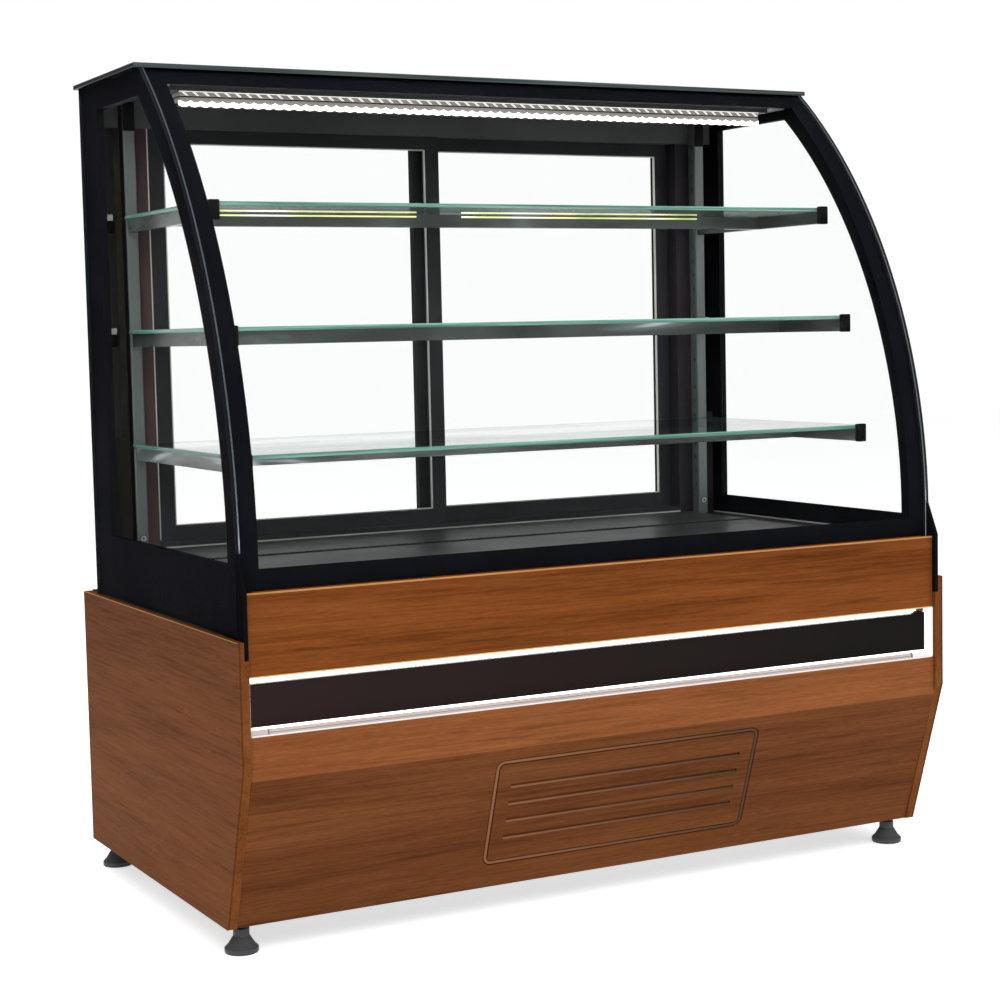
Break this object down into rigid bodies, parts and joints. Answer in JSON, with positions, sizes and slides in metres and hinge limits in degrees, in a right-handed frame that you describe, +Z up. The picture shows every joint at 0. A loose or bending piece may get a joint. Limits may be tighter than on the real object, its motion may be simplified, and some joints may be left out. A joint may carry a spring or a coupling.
{
  "type": "glass display showcase",
  "caption": "Refrigerated counter showcase with a curved glass front, glass shelves, wood-faced base with a lit recess, and sliding doors at the rear.",
  "frame": {"origin": "on the floor, in the middle of the overall width and depth", "axes": "+X to the right of a customer who faces the front, +Y from the front to the rear, +Z up"},
  "size_m": [1.2, 0.7, 1.255],
  "materials": {
    "wood": "satin walnut laminate",
    "clear_glass": "polished",
    "shelf_glass": "polished, green edge",
    "top_glass": "back-painted black, grey-green edge",
    "black_enamel": "gloss black print",
    "black_frame": "satin black powder coat",
    "grey_steel": "satin grey powder coat",
    "black_plastic": "moulded",
    "grey_plastic": "moulded",
    "white_paint": "white gloss paint",
    "light_diffuser": "opal diffuser, lit",
    "frame_paint": "black powder coat",
    "galvanised": "zinc plated sheet",
    "deck_paint": "dark grey satin paint",
    "foam_skin": "foam panel with dark sheet skin",
    "coil_fins": "fins",
    "compressor_paint": "black semi-gloss",
    "copper": "copper tube"
  },
  "bodies": {
    "case": {"backlit_panel": "black_enamel", "backlit_standoffs": "galvanised", "base_frame": "frame_paint", "base_pan": "galvanised", "cable_gland": "black_plastic", "compressor": "compressor_paint", "condenser_coil": "coil_fins", "condenser_fan_shroud": "galvanised", "control_panel": "black_plastic", "deck_covers": "deck_paint", "deck_insulation": "foam_skin", "deck_plate": "deck_paint", "drain_tray": "grey_plastic", "evaporator_coil": "coil_fins", "evaporator_fan_plate": "galvanised", "fixing_screws": "galvanised", "front_band_panel": "wood", "front_border": "black_enamel", "front_fascia": "wood", "front_glass": "clear_glass", "front_lower_panel": "wood", "lamp_diffuser": "light_diffuser", "lamp_housing": "black_frame", "light_channel": "white_paint", "rear_bottom_track": "black_frame", "rear_panel": "frame_paint", "rear_posts": "black_frame", "rear_top_beam": "black_frame", "recess_lights": "light_diffuser", "refrigerant_pipes": "copper", "shelf_bracket_1": "grey_steel", "shelf_bracket_2": "grey_steel", "shelf_bracket_3": "grey_steel", "shelf_end_caps": "black_plastic", "shelf_glass_1": "shelf_glass", "shelf_glass_2": "shelf_glass", "shelf_glass_3": "shelf_glass", "side_border_left": "black_enamel", "side_border_right": "black_enamel", "side_glass_left": "clear_glass", "side_glass_right": "clear_glass", "side_panel_left": "wood", "side_panel_right": "wood", "top_plate": "top_glass", "uprights": "grey_steel", "well_trough": "foam_skin"},
    "door_left": {"door_left_frame": "black_frame", "door_left_glass": "clear_glass", "door_left_glides": "black_plastic"},
    "door_right": {"door_right_frame": "black_frame", "door_right_glass": "clear_glass", "door_right_glides": "black_plastic"},
    "condenser_fan": {"condenser_fan_blade": "black_plastic"},
    "evaporator_fan": {"evaporator_fan_blade": "black_plastic"},
    "light_switch": {"light_switch": "black_plastic"},
    "thermostat_button": {"thermostat_button": "grey_plastic"},
    "foot_front_left": {"foot_front_left": "black_plastic"},
    "foot_front_right": {"foot_front_right": "black_plastic"},
    "foot_rear_left": {"foot_rear_left": "black_plastic"},
    "foot_rear_right": {"foot_rear_right": "black_plastic"}
  },
  "joints": [
    {"name": "door_left_slide", "type": "slide", "parent": "case", "child": "door_left", "axis": [1, 0, 0], "range_m": [0, 0.455]},
    {"name": "door_right_slide", "type": "slide", "parent": "case", "child": "door_right", "axis": [-1, 0, 0], "range_m": [0, 0.455]},
    {"name": "condenser_fan_spin", "type": "hinge", "parent": "case", "child": "condenser_fan", "pos_m": [0.02, -0.12, 0.1815], "axis": [0, 1, 0], "continuous": true},
    {"name": "evaporator_fan_spin", "type": "hinge", "parent": "case", "child": "evaporator_fan", "pos_m": [0, -0.06, 0.4], "axis": [0, 1, 0], "continuous": true},
    {"name": "foot_front_left_turn", "type": "hinge", "parent": "case", "child": "foot_front_left", "pos_m": [-0.5685, -0.244, 0], "axis": [0, 0, 1], "continuous": true},
    {"name": "foot_front_right_turn", "type": "hinge", "parent": "case", "child": "foot_front_right", "pos_m": [0.5685, -0.244, 0], "axis": [0, 0, 1], "continuous": true},
    {"name": "foot_rear_left_turn", "type": "hinge", "parent": "case", "child": "foot_rear_left", "pos_m": [-0.5685, 0.314, 0], "axis": [0, 0, 1], "continuous": true},
    {"name": "foot_rear_right_turn", "type": "hinge", "parent": "case", "child": "foot_rear_right", "pos_m": [0.5685, 0.314, 0], "axis": [0, 0, 1], "continuous": true},
    {"name": "light_switch_rock", "type": "hinge", "parent": "case", "child": "light_switch", "pos_m": [-0.52, 0.3425, 0.385], "axis": [1, 0, 0], "range_deg": [-7, 7]},
    {"name": "thermostat_button_press", "type": "slide", "parent": "case", "child": "thermostat_button", "axis": [0, -1, 0], "range_m": [0, 0.0015], "stiffness_N_per_m": 400}
  ]
}
